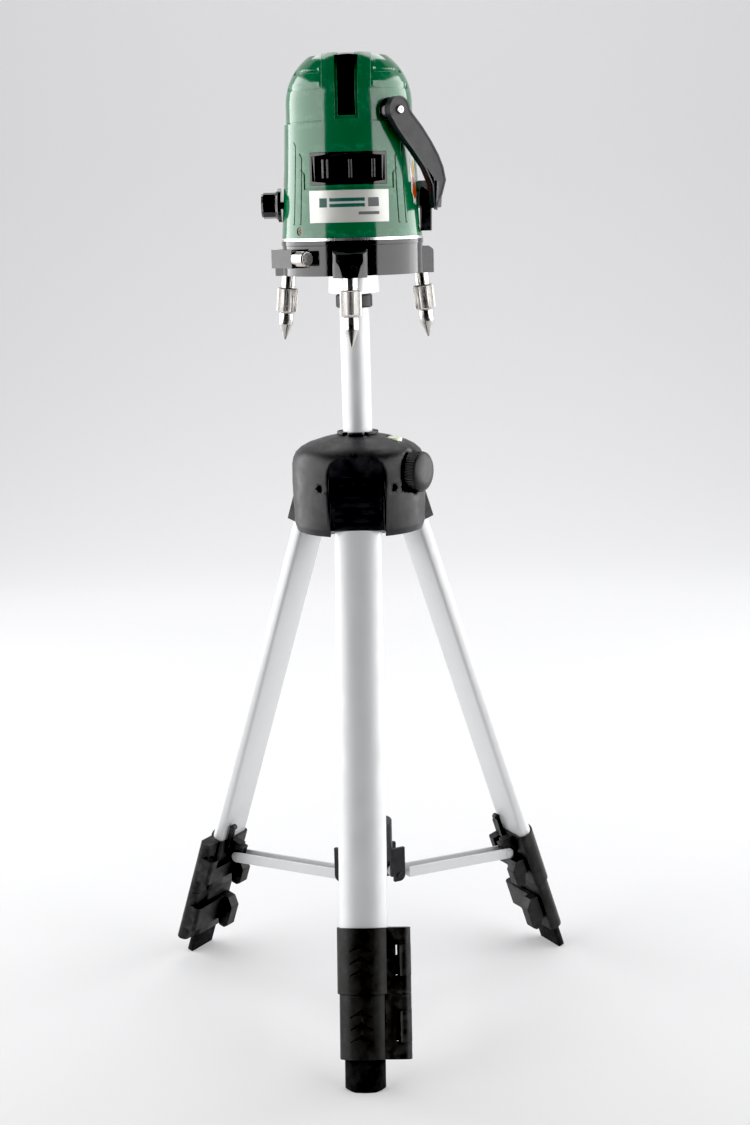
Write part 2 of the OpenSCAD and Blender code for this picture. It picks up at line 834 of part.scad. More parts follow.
// The space in front of the glass, whose four sides slope in from the bezel's rim.
module window_funnel() {
    rim_x = bezel_w / 2 - 1.2;
    intersection() {
        linear_extrude(head_top)
            polygon([
                [-rim_x, -far], [-rim_x, glass_y + 0.4], [-glass_x, glass_y - 0.5],
                [glass_x, glass_y - 0.5], [rim_x, glass_y + 0.4], [rim_x, -far]
            ]);
        translate([-rim_x, 0, 0])
            rotate([90, 0, 90])
                linear_extrude(2 * rim_x)
                    polygon([
                        [-far, window_low + 1], [-52.4, window_low + 1], [glass_y - 0.5, glass_low],
                        [glass_y + 1, glass_low], [glass_y + 1, glass_high],
                        [glass_y - 0.5, glass_high], [-52.4, window_high - 1],
                        [-far, window_high - 1]
                    ]);
    }
}

module window_bezel() {
    color("#141416")
        difference() {
            intersection() {
                head_solid(-0.4);
                block(
                    [-bezel_w / 2, -far, window_low],
                    [bezel_w / 2, glass_y + glass_t + 2, window_high]
                );
            }
            window_funnel();
            block([-glass_x, -far, glass_low], [glass_x, glass_y + glass_t, glass_high]);
            block([1 - glass_x, -far, glass_low + 1], [glass_x - 1, 0, glass_high - 1]);
        }
}

module front_glass() {
    color("#101014")
        block(
            [run - glass_x, glass_y, glass_low + run],
            [glass_x - run, glass_y + glass_t, glass_high - run]
        );
}

// The glass lies deep in the slot at the front and fills it over the top.
module slot_glass() {
    inside = slot_inner - slack;
    color("#101014")
        union() {
            head_skin(shoulder_wall, shoulder_wall + 1.8)
                block([-slot_w / 2, -far, slot_low - 2], [slot_w / 2, far, head_top]);
            head_skin(0.4, shoulder_wall + 1)
                block([-inside, -far, slot_full_z], [inside, far, head_top]);
        }
}

module nameplate() {
    color("#e8e8e6")
        head_skin(-0.4, 0) front_window(60, 638, 662);
}

module housing_screws() {
    color("#3a3a3c")
        for (a = screws_az)
            radial(a, screw_z) {
                translate([0, 0, screw_seat - 6.5]) cylinder(r = housing_screw_r, h = 7);
                difference() {
                    translate([0, 0, screw_seat]) cylinder(r = screw_head_r, h = 1);
                    block([-1.9, -0.4, screw_seat + 0.4], [1.9, 0.4, screw_seat + 2]);
                    block([-0.4, -1.9, screw_seat + 0.4], [0.4, 1.9, screw_seat + 2]);
                }
            }
}

module handle_screws() {
    color("#d8dadc")
        for (side = handle_sides)
            radial(handle_az + side, handle_z) {
                translate([0, 0, 46]) cylinder(r = handle_pin_r, h = handle_out + slack - 46);
                difference() {
                    translate([0, 0, handle_out + slack]) cylinder(r1 = 3.2, r2 = 2.6, h = 1.4);
                    translate([0, 0, handle_out + 0.9]) cylinder(r = 1.2, h = 1, $fn = 6);
                }
            }
}

module chassis_frame() {
    color("#9a9da1")
        difference() {
            union() {
                ring(turntable_r, 46, plate_top_z - 3, 637);
                translate([0, 0, plate_top_z - 3]) cylinder(r = 47, h = 3);
                translate([0, 0, 613]) cylinder(r = spindle_r, h = 15);
                for (a = [30, 150, -90])
                    at_azimuth(a)
                        translate([0, -post_at_r, plate_top_z - 1])
                            cylinder(r = 3, h = gimbal_z - 3 - plate_top_z);
                ring(41, 34, gimbal_z - 4, gimbal_z + 4);
            }
            translate([0, 0, gimbal_z]) bar_x(axle_r + run, -far, far);
            for (a = screws_az) radial(a, screw_z) cylinder(r = housing_screw_r, h = far);
        }
}

module battery_pack() {
    color("#3b5a8c")
        radial(cover_az, plate_top_z) translate([-9, 0, 26]) cube([18, 27, 14]);
}

module carry_handle() {
    color("#26272a")
        difference() {
            union() {
                for (side = handle_sides)
                    radial(handle_az + side, handle_z)
                        translate([0, 0, handle_in])
                            linear_extrude(handle_out - handle_in)
                                mirror([side == 0 ? 0 : 1, 0])
                                    union() {
                                        circle(10);
                                        polygon([
                                            [-9.4, -3.5], [3, 9.5], [12, -2], [22, -12], [31, -23],
                                            [38, -33], [42.5, -42], [45, -52], [41, -63],
                                            [34, -73], [32.5, -71.5], [31, -56], [24, -43], [14, -31.5],
                                            [5, -22], [-3, -13]
                                        ]);
                                    }
                // the grip bows round the head between the two arms
                at_azimuth(handle_az)
                    translate([0, 0, handle_z])
                        difference() {
                            rotate_extrude()
                                polygon([
                                    [bail_r, -71], [bail_r + 4, -72.5], [bail_r + 5.6, -53],
                                    [bail_r + 1.6, -51]
                                ]);
                            block([-far, -far, -far], [34, far, far]);
                        }
            }
            for (side = handle_sides)
                radial(handle_az + side, handle_z) cylinder(r = handle_pin_r + run, h = far);
        }
}

module power_knob() {
    color("#17181a")
        radial(-90, power_z) {
            translate([0, 0, 47]) cylinder(r = power_shaft_r, h = 8);
            translate([0, 0, 54.4]) cylinder(r = 13, h = 2.6);
            translate([0, 0, 57]) cylinder(r1 = 12, r2 = 10.4, h = 2);
            translate([0, 0, 59]) cylinder(r = 10, h = 9.6, $fn = 12);
            translate([0, 0, 68.6]) cylinder(r = 9, h = 1.4);
        }
}

module battery_cover() {
    color("#2f3033")
        at_azimuth(cover_az)
            intersection() {
                rotate_extrude()
                    polygon([
                        [base_r + 0.6, 630], [62.4, 630], [62.8, 652], [60.5, 660], [57.5, 663],
                        [base_r + 0.6, 663]
                    ]);
                block([-13.2, -far, 600], [13.2, 0, 700]);
            }
}

module mode_button() {
    color("#d0402c")
        translate([button_x, 0, 0])
            union() {
                translate([0, 0, 758.4]) cylinder(r = button_r, h = 5.2);
                translate([0, 0, 757.4]) cylinder(r = button_r + 1, h = 1.2);
            }
}

// ---- self-levelling movement ----

module gimbal_ring() {
    color("#b9a25a")
        translate([0, 0, gimbal_z])
            union() {
                difference() {
                    ring(30, 24, -3, 3);
                    rotate([0, 0, 90]) bar_x(axle_r + run, -far, far);
                }
                for (side = [0, 180])
                    rotate([0, 0, side]) bar_x(axle_r, 29, 39);
            }
}

module pendulum() {
    color("#b9a25a")
        union() {
            translate([0, 0, gimbal_z - 5]) cylinder(r = 13, h = 10);
            for (side = [90, 270])
                translate([0, 0, gimbal_z]) rotate([0, 0, side]) bar_x(axle_r, 12, 29);
            translate([0, 0, 697]) cylinder(r = 8, h = 18);
            block([-12, -12, 668], [12, 12, 698]);
            translate([0, 0, 652]) cylinder(r = 18, h = 17);
            translate([0, 0, gimbal_z + 4]) cylinder(r = 9, h = 24);
        }
}

module laser_modules() {
    color("#5b5e63")
        union() {
            radial(0, 678) translate([0, 0, 12]) cylinder(r = 6, h = 26);
            for (a = [0, 90, 180, 270])
                radial(a, 736) translate([0, 0, 9]) cylinder(r = 5, h = 20);
        }
}

hub_body();
bubble_vial();
leg_hinge_pins();
column_tube();
column_head();
column_collar();
column_lock_knob();
brace_hub();
leg_insert(legs[0]);  // leg_insert_front
leg_tube(legs[0]);  // leg_tube_front
upper_clamp(legs[0]);  // upper_clamp_front
upper_lever(legs[0]);  // upper_lever_front
mid_tube(legs[0]);  // mid_tube_front
lower_clamp(legs[0]);  // lower_clamp_front
lower_lever(legs[0]);  // lower_lever_front
lower_tube(legs[0]);  // lower_tube_front
rubber_foot(legs[0]);  // rubber_foot_front
brace_arm(legs[0]);  // brace_arm_front
leg_insert(legs[1]);  // leg_insert_right
leg_tube(legs[1]);  // leg_tube_right
upper_clamp(legs[1]);  // upper_clamp_right
upper_lever(legs[1]);  // upper_lever_right
mid_tube(legs[1]);  // mid_tube_right
lower_clamp(legs[1]);  // lower_clamp_right
lower_lever(legs[1]);  // lower_lever_right
lower_tube(legs[1]);  // lower_tube_right
rubber_foot(legs[1]);  // rubber_foot_right
brace_arm(legs[1]);  // brace_arm_right
leg_insert(legs[2]);  // leg_insert_left
leg_tube(legs[2]);  // leg_tube_left
upper_clamp(legs[2]);  // upper_clamp_left
upper_lever(legs[2]);  // upper_lever_left
mid_tube(legs[2]);  // mid_tube_left
lower_clamp(legs[2]);  // lower_clamp_left
lower_lever(legs[2]);  // lower_lever_left
lower_tube(legs[2]);  // lower_tube_left
rubber_foot(legs[2]);  // rubber_foot_left
brace_arm(legs[2]);  // brace_arm_left
base_body();
graduated_ring();
levelling_foot(legs[0]);  // levelling_foot_front
levelling_foot(legs[1]);  // levelling_foot_right
levelling_foot(legs[2]);  // levelling_foot_left
tangent_knob();
housing_shell();
window_bezel();
front_glass();
slot_glass();
nameplate();
housing_screws();
handle_screws();
battery_pack();
chassis_frame();
carry_handle();
power_knob();
battery_cover();
mode_button();
gimbal_ring();
pendulum();
laser_modules();
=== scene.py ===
"""Looks for the laser level on its tripod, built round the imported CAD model."""

import json
import math

import bmesh
import bpy
from mathutils import Matrix, Vector
from mathutils.bvhtree import BVHTree


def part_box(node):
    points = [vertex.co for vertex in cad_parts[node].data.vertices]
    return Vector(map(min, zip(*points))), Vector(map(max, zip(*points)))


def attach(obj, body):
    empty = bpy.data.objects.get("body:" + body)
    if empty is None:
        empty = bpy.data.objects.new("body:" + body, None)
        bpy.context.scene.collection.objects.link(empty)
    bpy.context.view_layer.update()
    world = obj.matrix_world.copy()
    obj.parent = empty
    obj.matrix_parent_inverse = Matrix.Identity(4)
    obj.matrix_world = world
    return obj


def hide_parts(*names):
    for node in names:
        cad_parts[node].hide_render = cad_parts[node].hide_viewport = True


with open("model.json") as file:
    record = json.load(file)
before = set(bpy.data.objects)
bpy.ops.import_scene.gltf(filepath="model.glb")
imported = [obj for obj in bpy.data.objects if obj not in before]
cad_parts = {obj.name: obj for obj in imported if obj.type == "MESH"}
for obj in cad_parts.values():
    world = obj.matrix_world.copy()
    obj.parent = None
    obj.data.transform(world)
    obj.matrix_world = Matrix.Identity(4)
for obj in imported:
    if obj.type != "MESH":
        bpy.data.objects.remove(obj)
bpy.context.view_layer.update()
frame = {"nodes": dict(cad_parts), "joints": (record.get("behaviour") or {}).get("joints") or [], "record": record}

MM = 0.001
NODES = frame["nodes"]
BEHAVIOUR = frame["record"]["behaviour"]
BODY_OF = {node: body for body, members in BEHAVIOUR["bodies"].items() for node in members}
SLOT_OF = {part["node"]: part["material_slot"] for part in frame["record"]["subparts"]}
JOINT = {joint["name"]: joint for joint in frame["joints"]}
LEGS = {"front": 0.0, "right": 120.0, "left": -120.0}
LEG_LEAN = 18.7          # each leg's lean from upright, in degrees


# ---------------------------------------------------------------- shader helpers

class Shader:
    """A node material under construction, with short calls for the nodes used here."""

    def __init__(self, name, colour, roughness, metallic=0.0):
        self.material = bpy.data.materials.new(name)
        self.material.use_nodes = True
        self.tree = self.material.node_tree
        self.bsdf = self.tree.nodes["Principled BSDF"]
        self.bsdf.inputs["Base Color"].default_value = (*colour, 1.0)
        self.bsdf.inputs["Roughness"].default_value = roughness
        self.bsdf.inputs["Metallic"].default_value = metallic
        self.place = self.node("ShaderNodeTexCoord").outputs["Object"]

    def node(self, kind, settings=None, **inputs):
        made = self.tree.nodes.new(kind)
        for key, value in (settings or {}).items():
            setattr(made, key, value)
        for key, value in inputs.items():
            self.feed(made.inputs[key.replace("_", " ")], value)
        return made

    def feed(self, socket, value):
        if isinstance(value, bpy.types.NodeSocket):
            self.tree.links.new(value, socket)
        else:
            socket.default_value = value

    def set(self, **inputs):
        for key, value in inputs.items():
            self.feed(self.bsdf.inputs[key.replace("_", " ")], value)

    def noise(self, scale, detail=3.0, rough=0.55, where=None):
        made = self.node("ShaderNodeTexNoise", Scale=scale, Detail=detail, Roughness=rough)
        self.feed(made.inputs["Vector"], where or self.place)
        return made.outputs["Fac"]

    def remap(self, value, low, high, to_low, to_high):
        made = self.node("ShaderNodeMapRange")
        for key, number in zip(("From Min", "From Max", "To Min", "To Max"),
                               (low, high, to_low, to_high)):
            made.inputs[key].default_value = number
        self.feed(made.inputs["Value"], value)
        return made.outputs["Result"]

    def mix(self, factor, first, second):
        made = self.node("ShaderNodeMix", {"data_type": "RGBA"})
        self.feed(made.inputs[0], factor)
        for socket, colour in ((made.inputs[6], first), (made.inputs[7], second)):
            value = colour if isinstance(colour, bpy.types.NodeSocket) else (*colour, 1.0)
            self.feed(socket, value)
        return made.outputs[2]

    def maths(self, operation, first, second=0.0):
        made = self.node("ShaderNodeMath", {"operation": operation})
        self.feed(made.inputs[0], first)
        self.feed(made.inputs[1], second)
        return made.outputs[0]

    def bump(self, height, distance, strength=1.0, after=None):
        made = self.node("ShaderNodeBump", Distance=distance, Strength=strength)
        self.feed(made.inputs["Height"], height)
        if after is not None:
            self.feed(made.inputs["Normal"], after)
        return made.outputs["Normal"]

    def stretched(self, scales, turn=(0.0, 0.0, 0.0)):
        """The object's coordinates turned, then scaled along each axis."""
        turned = self.node("ShaderNodeMapping", Rotation=turn)
        self.feed(turned.inputs["Vector"], self.place)
        scaled = self.node("ShaderNodeMapping", Scale=scales)
        self.feed(scaled.inputs["Vector"], turned.outputs["Vector"])
        return scaled.outputs["Vector"]

    def rounded(self, radius):
        """Normals that soften the piece's edges over this radius, in mm."""
        made = self.node("ShaderNodeBevel", {"samples": 4})
        made.inputs["Radius"].default_value = radius * MM
        return made.outputs["Normal"]

    def edge_wear(self):
        """1 on worn convex edges, broken up by noise."""
        sharp = self.node("ShaderNodeNewGeometry").outputs["Pointiness"]
        worn = self.remap(sharp, 0.52, 0.6, 0.0, 1.0)
        patchy = self.remap(self.noise(160, 4), 0.45, 0.65, 0.0, 1.0)
        return self.maths("MULTIPLY", worn, patchy)


def moulded_plastic(name, colour, roughness, depth=0.05, shine=0.5):
    """Injection-moulded plastic: fine spark-eroded grain, uneven sheen, paler worn edges."""
    s = Shader(name, colour, roughness)
    lighter = tuple(min(1.0, c * 1.9 + 0.02) for c in colour)
    tone = s.mix(s.remap(s.noise(55, 4), 0.35, 0.7, 0.0, 0.35), colour, lighter)
    worn = s.maths("MULTIPLY", s.edge_wear(), 0.3)
    s.set(Base_Color=s.mix(worn, tone, tuple(min(1.0, c * 3 + 0.06) for c in colour)))
    patch = s.noise(130, 3)
    s.set(Roughness=s.remap(patch, 0.3, 0.7, roughness - 0.07, roughness + 0.09))
    fine = s.bump(s.noise(900, 2, 0.7), depth * MM, after=s.rounded(0.45))
    s.set(Normal=s.bump(s.noise(38, 2), 0.04 * MM, 0.3, after=fine))
    s.set(Specular_IOR_Level=shine)
    return s.material


def gloss_plastic(name, colour, roughness, coat=0.6):
    """Hard gloss plastic or enamel: slight orange peel and hairline scuffs."""
    s = Shader(name, colour, roughness)
    deeper = tuple(c * 0.72 for c in colour)
    tone = s.mix(s.remap(s.noise(22, 3), 0.35, 0.7, 0.0, 0.5), colour, deeper)
    paler = tuple(min(1.0, c * 1.5 + 0.05) for c in colour)
    s.set(Base_Color=s.mix(s.maths("MULTIPLY", s.edge_wear(), 0.35), tone, paler))
    scuff = s.noise(1.0, 2, 0.6, where=s.stretched((700, 90, 240), (0.3, 0.5, 0.2)))
    streak = s.remap(scuff, 0.62, 0.75, 0.0, 0.16)
    s.set(Roughness=s.maths("ADD", s.remap(s.noise(60, 4), 0.3, 0.7, roughness - 0.04,
                                           roughness + 0.07), streak))
    s.set(Normal=s.bump(s.noise(230, 2, 0.45), 0.05 * MM, 0.55, after=s.rounded(0.55)))
    s.bsdf.inputs["Coat Weight"].default_value = coat
    s.bsdf.inputs["Coat Roughness"].default_value = 0.05
    return s.material


def brushed_metal(name, colour, roughness, along=(1.0, 1.0, 0.01), turn=(0.0, 0.0, 0.0),
                  metallic=1.0, depth=0.012):
    """Metal with a drawn or brushed grain that runs along one axis."""
    s = Shader(name, colour, roughness, metallic)
    scale = 2600.0
    grain = s.noise(1.0, 3, 0.7, where=s.stretched(tuple(scale * a for a in along), turn))
    shade = tuple(c * 0.84 for c in colour)
    cloud = s.remap(s.noise(26, 3), 0.3, 0.7, 0.0, 0.4)
    s.set(Base_Color=s.mix(s.maths("MULTIPLY", grain, cloud), colour, shade))
    smudge = s.remap(s.noise(70, 4, 0.65), 0.35, 0.75, -0.05, 0.08)
    s.set(Roughness=s.maths("ADD", s.remap(grain, 0.3, 0.7, roughness - 0.05, roughness + 0.06),
                            smudge))
    s.set(Normal=s.bump(grain, depth * MM, 0.5))
    return s.material


def polished_metal(name, colour, roughness):
    """Plated or polished metal with faint turning marks and finger smudges."""
    s = Shader(name, colour, roughness, 1.0)
    rings = s.noise(1.0, 2, 0.6, where=s.stretched((60, 60, 3800)))
    smudge = s.remap(s.noise(190, 4), 0.42, 0.72, 0.0, 0.14)
    s.set(Roughness=s.maths("ADD", s.remap(rings, 0.3, 0.7, roughness * 0.6, roughness * 1.3),
                            smudge))
    s.set(Base_Color=s.mix(smudge, colour, tuple(c * 0.7 for c in colour)))
    s.set(Normal=s.bump(rings, 0.01 * MM, 0.4))
    return s.material


def rubber(name, colour):
    """Matt dusty rubber with a fine coarse-cast grain."""
    s = Shader(name, colour, 0.72)
    dust = s.remap(s.noise(75, 5, 0.65), 0.45, 0.75, 0.0, 0.5)
    s.set(Base_Color=s.mix(dust, colour, tuple(c + 0.012 for c in colour)))
    s.set(Roughness=s.remap(s.noise(220, 3), 0.3, 0.7, 0.6, 0.85), Specular_IOR_Level=0.2)
    s.set(Normal=s.bump(s.noise(1200, 3, 0.7), 0.09 * MM))
    return s.material


def tinted_glass(name, colour, roughness=0.04):
    """Dark window glass: nearly black, with a clear reflective surface and faint smears."""
    s = Shader(name, colour, roughness)
    smear = s.noise(1.0, 3, 0.6, where=s.stretched((90, 90, 25)))
    s.set(Roughness=s.remap(smear, 0.4, 0.75, roughness, roughness + 0.12))
    s.set(Base_Color=s.mix(s.remap(s.noise(30, 2), 0.4, 0.7, 0.0, 0.5), colour,
                           tuple(c * 2.2 for c in colour)))
    s.bsdf.inputs["Coat Weight"].default_value = 1.0
    s.bsdf.inputs["IOR"].default_value = 1.52
    s.set(Normal=s.bump(s.noise(14, 2), 0.05 * MM, 0.3))
    return s.material


ALU = (0.62, 0.625, 0.63)
MATERIALS = {
    "satin_black": moulded_plastic("satin_black", (0.006, 0.006, 0.007), 0.38, shine=0.33),
    "clamp_black": moulded_plastic("clamp_black", (0.005, 0.0047, 0.0042), 0.4, depth=0.06,
                                   shine=0.26),
    "handle_black": moulded_plastic("handle_black", (0.011, 0.011, 0.013), 0.42, shine=0.38),
    "base_black": gloss_plastic("base_black", (0.002, 0.002, 0.003), 0.1, 0.25),
    "head_green": gloss_plastic("head_green", (0.0008, 0.122, 0.044), 0.13, 0.4),
    "white_platform": brushed_metal("white_platform", (0.92, 0.92, 0.93), 0.36, metallic=0.3),
    "anodised": brushed_metal("anodised", ALU, 0.48, metallic=0.3),
    "ring_silver": brushed_metal("ring_silver", (0.84, 0.84, 0.85), 0.24),
    "chrome": polished_metal("chrome", (0.52, 0.5, 0.48), 0.16),
    "steel": brushed_metal("steel", (0.6, 0.6, 0.61), 0.3),
    "dark_screws": brushed_metal("dark_screws", (0.1, 0.09, 0.08), 0.3),
    "plate_silver": brushed_metal("plate_silver", (0.6, 0.6, 0.57), 0.36, (0.01, 1, 1),
                                  metallic=0.3),
    "window_glass": tinted_glass("window_glass", (0.0025, 0.0025, 0.0035)),
    "vial": tinted_glass("vial", (0.6, 0.68, 0.5), 0.06),
    "battery_blue": moulded_plastic("battery_blue", (0.05, 0.12, 0.3), 0.4),
    "cast_frame": brushed_metal("cast_frame", (0.5, 0.51, 0.52), 0.5, (1, 1, 1), depth=0.05),
    "brass": brushed_metal("brass", (0.72, 0.53, 0.22), 0.28),
    "button_red": gloss_plastic("button_red", (0.5, 0.02, 0.015), 0.2),
    "foot_rubber": rubber("foot_rubber", (0.003, 0.003, 0.0031)),
}
LEG_ALU = {
    leg: brushed_metal("anodised_leg_" + leg, ALU, 0.48, metallic=0.3,
                       turn=(math.radians(LEG_LEAN), 0.0, math.radians(-azimuth)))
    for leg, azimuth in LEGS.items()
}
PRINT = {
    "dark": moulded_plastic("print_dark_green", (0.004, 0.07, 0.05), 0.4, depth=0.01),
    "grey": moulded_plastic("print_grey", (0.09, 0.095, 0.1), 0.45, depth=0.01),
    "white": gloss_plastic("sticker_white", (0.82, 0.82, 0.8), 0.25, 0.3),
    "yellow": gloss_plastic("sticker_yellow", (0.85, 0.52, 0.02), 0.25, 0.3),
    "orange": gloss_plastic("sticker_orange", (0.78, 0.1, 0.02), 0.25, 0.3),
}


# ---------------------------------------------------------------- mesh helpers

def link(obj):
    bpy.context.scene.collection.objects.link(obj)
    return obj


def built(name, bm):
    """A linked object made from a finished bmesh."""
    mesh = bpy.data.meshes.new(name)
    bm.to_mesh(mesh)
    bm.free()
    return link(bpy.data.objects.new(name, mesh))


def outward_at(azimuth):
    """The level direction away from the tripod's axis at an azimuth in degrees."""
    t = math.radians(azimuth)
    return Vector((math.sin(t), -math.cos(t), 0.0))


def up_by(z):
    """A straight step up, in mm."""
    return Vector((0.0, 0.0, z * MM))


def smooth(obj, angle=34.0, weighted=True):
    """Smooth shading with sharp edges kept, and normals that follow the larger faces."""
    obj.data.shade_smooth()
    obj.data.set_sharp_from_angle(angle=math.radians(angle))
    if weighted:
        modifier = obj.modifiers.new("normals", "WEIGHTED_NORMAL")
        modifier.keep_sharp = True
        modifier.weight = 60


def paint(obj, material):
    obj.data.materials.clear()
    obj.data.materials.append(material)


def finish_piece(obj, node, material=None):
    """Puts a finished piece on the body of the CAD node it stands for."""
    paint(obj, material or MATERIALS[SLOT_OF[node]])
    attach(obj, BODY_OF[node])


def fair_normals(mesh, normal_at):
    """Gives corners that lie close to a known curved surface that surface's own normal."""
    close = math.cos(math.radians(14))
    corners = [n.vector.copy() for n in mesh.corner_normals]
    for face in mesh.polygons:
        for index in face.loop_indices:
            true = normal_at(mesh.vertices[mesh.loops[index].vertex_index].co)
            if true is None:
                continue
            share = face.normal.dot(true)
            if abs(share) > close:
                corners[index] = true if share > 0 else -true
    mesh.normals_split_custom_set(corners)


# the laser head's turned outline, in mm: a flared wall below the neck and a round dome above
HEAD_TOP, NECK_Z, NECK_R = 763.9, 727.0, 50.2
FLARE, FLARE_HEIGHT, FLARE_POWER = 4.8, 100.3, 1.6
DOME_R, DOME_AT_R = 45.9, 4.3


def head_radius(z):
    """The outline's radius at a height, both in mm."""
    if z > NECK_Z:
        return DOME_AT_R + math.sqrt(max(DOME_R ** 2 - (z - NECK_Z) ** 2, 0.0))
    return NECK_R + FLARE * ((NECK_Z - z) / FLARE_HEIGHT) ** FLARE_POWER


def head_normal(point):
    """The outward normal of the laser head's outline at a point on or near it."""
    radius, z = math.hypot(point.x, point.y) / MM, point.z / MM
    if radius < 1.0 or z > HEAD_TOP:
        return Vector((0.0, 0.0, 1.0))
    if z > NECK_Z:
        out, up = radius - DOME_AT_R, z - NECK_Z
    else:
        share = max(NECK_Z - z, 0.0) / FLARE_HEIGHT
        out, up = 1.0, FLARE * FLARE_POWER / FLARE_HEIGHT * share ** (FLARE_POWER - 1)
    size = math.hypot(out, up)
    return Vector((point.x / MM / radius * out / size, point.y / MM / radius * out / size,
                   up / size))


def leg_normal(leg):
    """A function for the outward normal of the half-ellipse front of one leg's pieces."""
    azimuth, lean = math.radians(LEGS[leg]), math.radians(LEG_LEAN)
    outward = outward_at(LEGS[leg])
    across = Vector((math.cos(azimuth), math.sin(azimuth), 0.0))
    down = outward * math.sin(lean) - Vector((0, 0, 1)) * math.cos(lean)
    front = outward * math.cos(lean) + Vector((0, 0, 1)) * math.sin(lean)
    pin = Vector(JOINT["leg_fold_" + leg]["pos_m"])
    half, nose = 18.35, 9.1      # the outer tube's half width and the depth of its front, in mm
    flat_back, below_hub = 0.15, 40.0

    def normal_at(point):
        x = (point - pin).dot(across) / MM
        y = (point - pin).dot(front) / MM
        if y < flat_back or (point - pin).dot(down) / MM < below_hub:
            return None
        # halving finds how far the point's own ellipse lies inside the outer tube's
        low, high = -3.0, 7.0
        for _ in range(18):
            inset = (low + high) / 2
            if (x / (half - inset)) ** 2 + (y / (nose - inset)) ** 2 > 1:
                high = inset
            else:
                low = inset
        normal = across * (x / (half - inset) ** 2) + front * (y / (nose - inset) ** 2)
        return normal.normalized()

    return normal_at


def round_edges(bm, edges, width):
    bmesh.ops.bevel(bm, geom=edges, offset=width * MM, segments=2, affect="EDGES",
                    clamp_overlap=True, profile=0.5)


def refine(node, width, material=None, normal_at=None):
    """A finished copy of a CAD node: welded, planar faces merged and its hard edges rounded."""
    source = NODES[node]
    obj = link(bpy.data.objects.new(node + "_finish", source.data.copy()))
    bm = bmesh.new()
    bm.from_mesh(obj.data)
    bmesh.ops.remove_doubles(bm, verts=bm.verts, dist=0.002 * MM)
    bmesh.ops.dissolve_limit(bm, angle_limit=math.radians(0.3), verts=bm.verts, edges=bm.edges)
    limit = math.radians(28.0)
    short = 2.3 * width * MM
    hard = [e for e in bm.edges if e.is_manifold and e.calc_face_angle() > limit
            and all(f.calc_length() > short for v in e.verts for f in v.link_edges)]
    if width > 0 and hard:
        round_edges(bm, hard, width)
    bmesh.ops.recalc_face_normals(bm, faces=bm.faces)
    bm.to_mesh(obj.data)
    bm.free()
    if normal_at:
        smooth(obj, weighted=False)
        fair_normals(obj.data, normal_at)
    else:
        smooth(obj)
    finish_piece(obj, node, material)
    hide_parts(node)
    return obj


# how far each node's hard edges are rounded, in mm. Nodes left out have their own function.
ROUNDING = {
    "hub_body": 1.2, "bubble_vial": 0.3, "leg_hinge_pins": 0.2, "brace_hub": 0.4,
    "column_tube": 0.3, "column_head": 0.5, "column_collar": 0.3,
    "leg_insert": 0.5, "leg_tube": 0.15, "upper_clamp": 0.45, "upper_lever": 0.6,
    "mid_tube": 0.15, "lower_clamp": 0.45, "lower_lever": 0.6, "lower_tube": 0.15,
    "rubber_foot": 0.8, "brace_arm": 0.25,
    "base_body": 0.7, "graduated_ring": 0.15, "tangent_knob": 0.25,
    "housing_shell": 0.3, "window_bezel": 0.25, "front_glass": 0.2, "slot_glass": 0.2,
    "nameplate": 0.08, "housing_screws": 0.15, "handle_screws": 0.2, "power_knob": 0.3,
    "battery_cover": 0.9, "mode_button": 0.3, "battery_pack": 0.6, "chassis_frame": 0.3,
    "gimbal_ring": 0.2, "pendulum": 0.4, "laser_modules": 0.3,
}
ON_ELLIPSE = ("leg_tube", "mid_tube", "lower_tube", "upper_clamp", "lower_clamp", "rubber_foot")
ON_HEAD = ("housing_shell", "nameplate", "window_bezel", "slot_glass")


def refine_all():
    curved = {leg: leg_normal(leg) for leg in LEGS}
    for node in NODES:
        stem, _, leg = node.rpartition("_")
        on_leg = leg in LEGS
        kind = stem if on_leg else node
        if kind not in ROUNDING:
            continue
        metal = LEG_ALU[leg] if on_leg and SLOT_OF[node] == "anodised" else None
        normal_at = head_normal if node in ON_HEAD else None
        if kind in ON_ELLIPSE:
            normal_at = curved[leg]
        obj = refine(node, ROUNDING[kind], metal, normal_at)
        if node == "housing_shell":
            blacken_bosses(obj.data)


def blacken_bosses(mesh):
    """The bosses that carry the handle stand out from the green head and are black."""
    mesh.materials.append(MATERIALS["base_black"])
    for face in mesh.polygons:
        x, y, z = face.center / MM
        if math.hypot(x, y) > head_radius(z) + 0.15 and z < HEAD_TOP:
            face.material_index = 1


# ---------------------------------------------------------------- turned and ribbed pieces

def axis_frame(origin, axis):
    """A placement whose +Z runs along the axis."""
    turn = Vector(axis).normalized().to_track_quat("Z", "Y").to_matrix().to_4x4()
    return Matrix.Translation(Vector(origin)) @ turn


def turned(name, profile, place, count):
    """A lathe-turned piece with count points round it, four to a tooth.

    The profile is [(radius, height, tooth depth), ...] in mm.
    """
    bm = bmesh.new()
    rows = []
    for radius, height, depth in profile:
        row = []
        for k in range(count):
            r = radius - (depth if k % 4 in (2, 3) else 0.0)
            t = 2 * math.pi * k / count
            row.append(bm.verts.new((r * math.cos(t) * MM, r * math.sin(t) * MM, height * MM)))
        rows.append(row)
    for low, high in zip(rows, rows[1:]):
        for k in range(count):
            nxt = (k + 1) % count
            bm.faces.new((low[k], low[nxt], high[nxt], high[k]))
    bm.faces.new(rows[0][::-1])
    bm.faces.new(rows[-1])
    bmesh.ops.remove_doubles(bm, verts=bm.verts, dist=0.001 * MM)
    bmesh.ops.recalc_face_normals(bm, faces=bm.faces)
    obj = built(name, bm)
    obj.data.transform(place)
    smooth(obj, 30, weighted=False)
    return obj


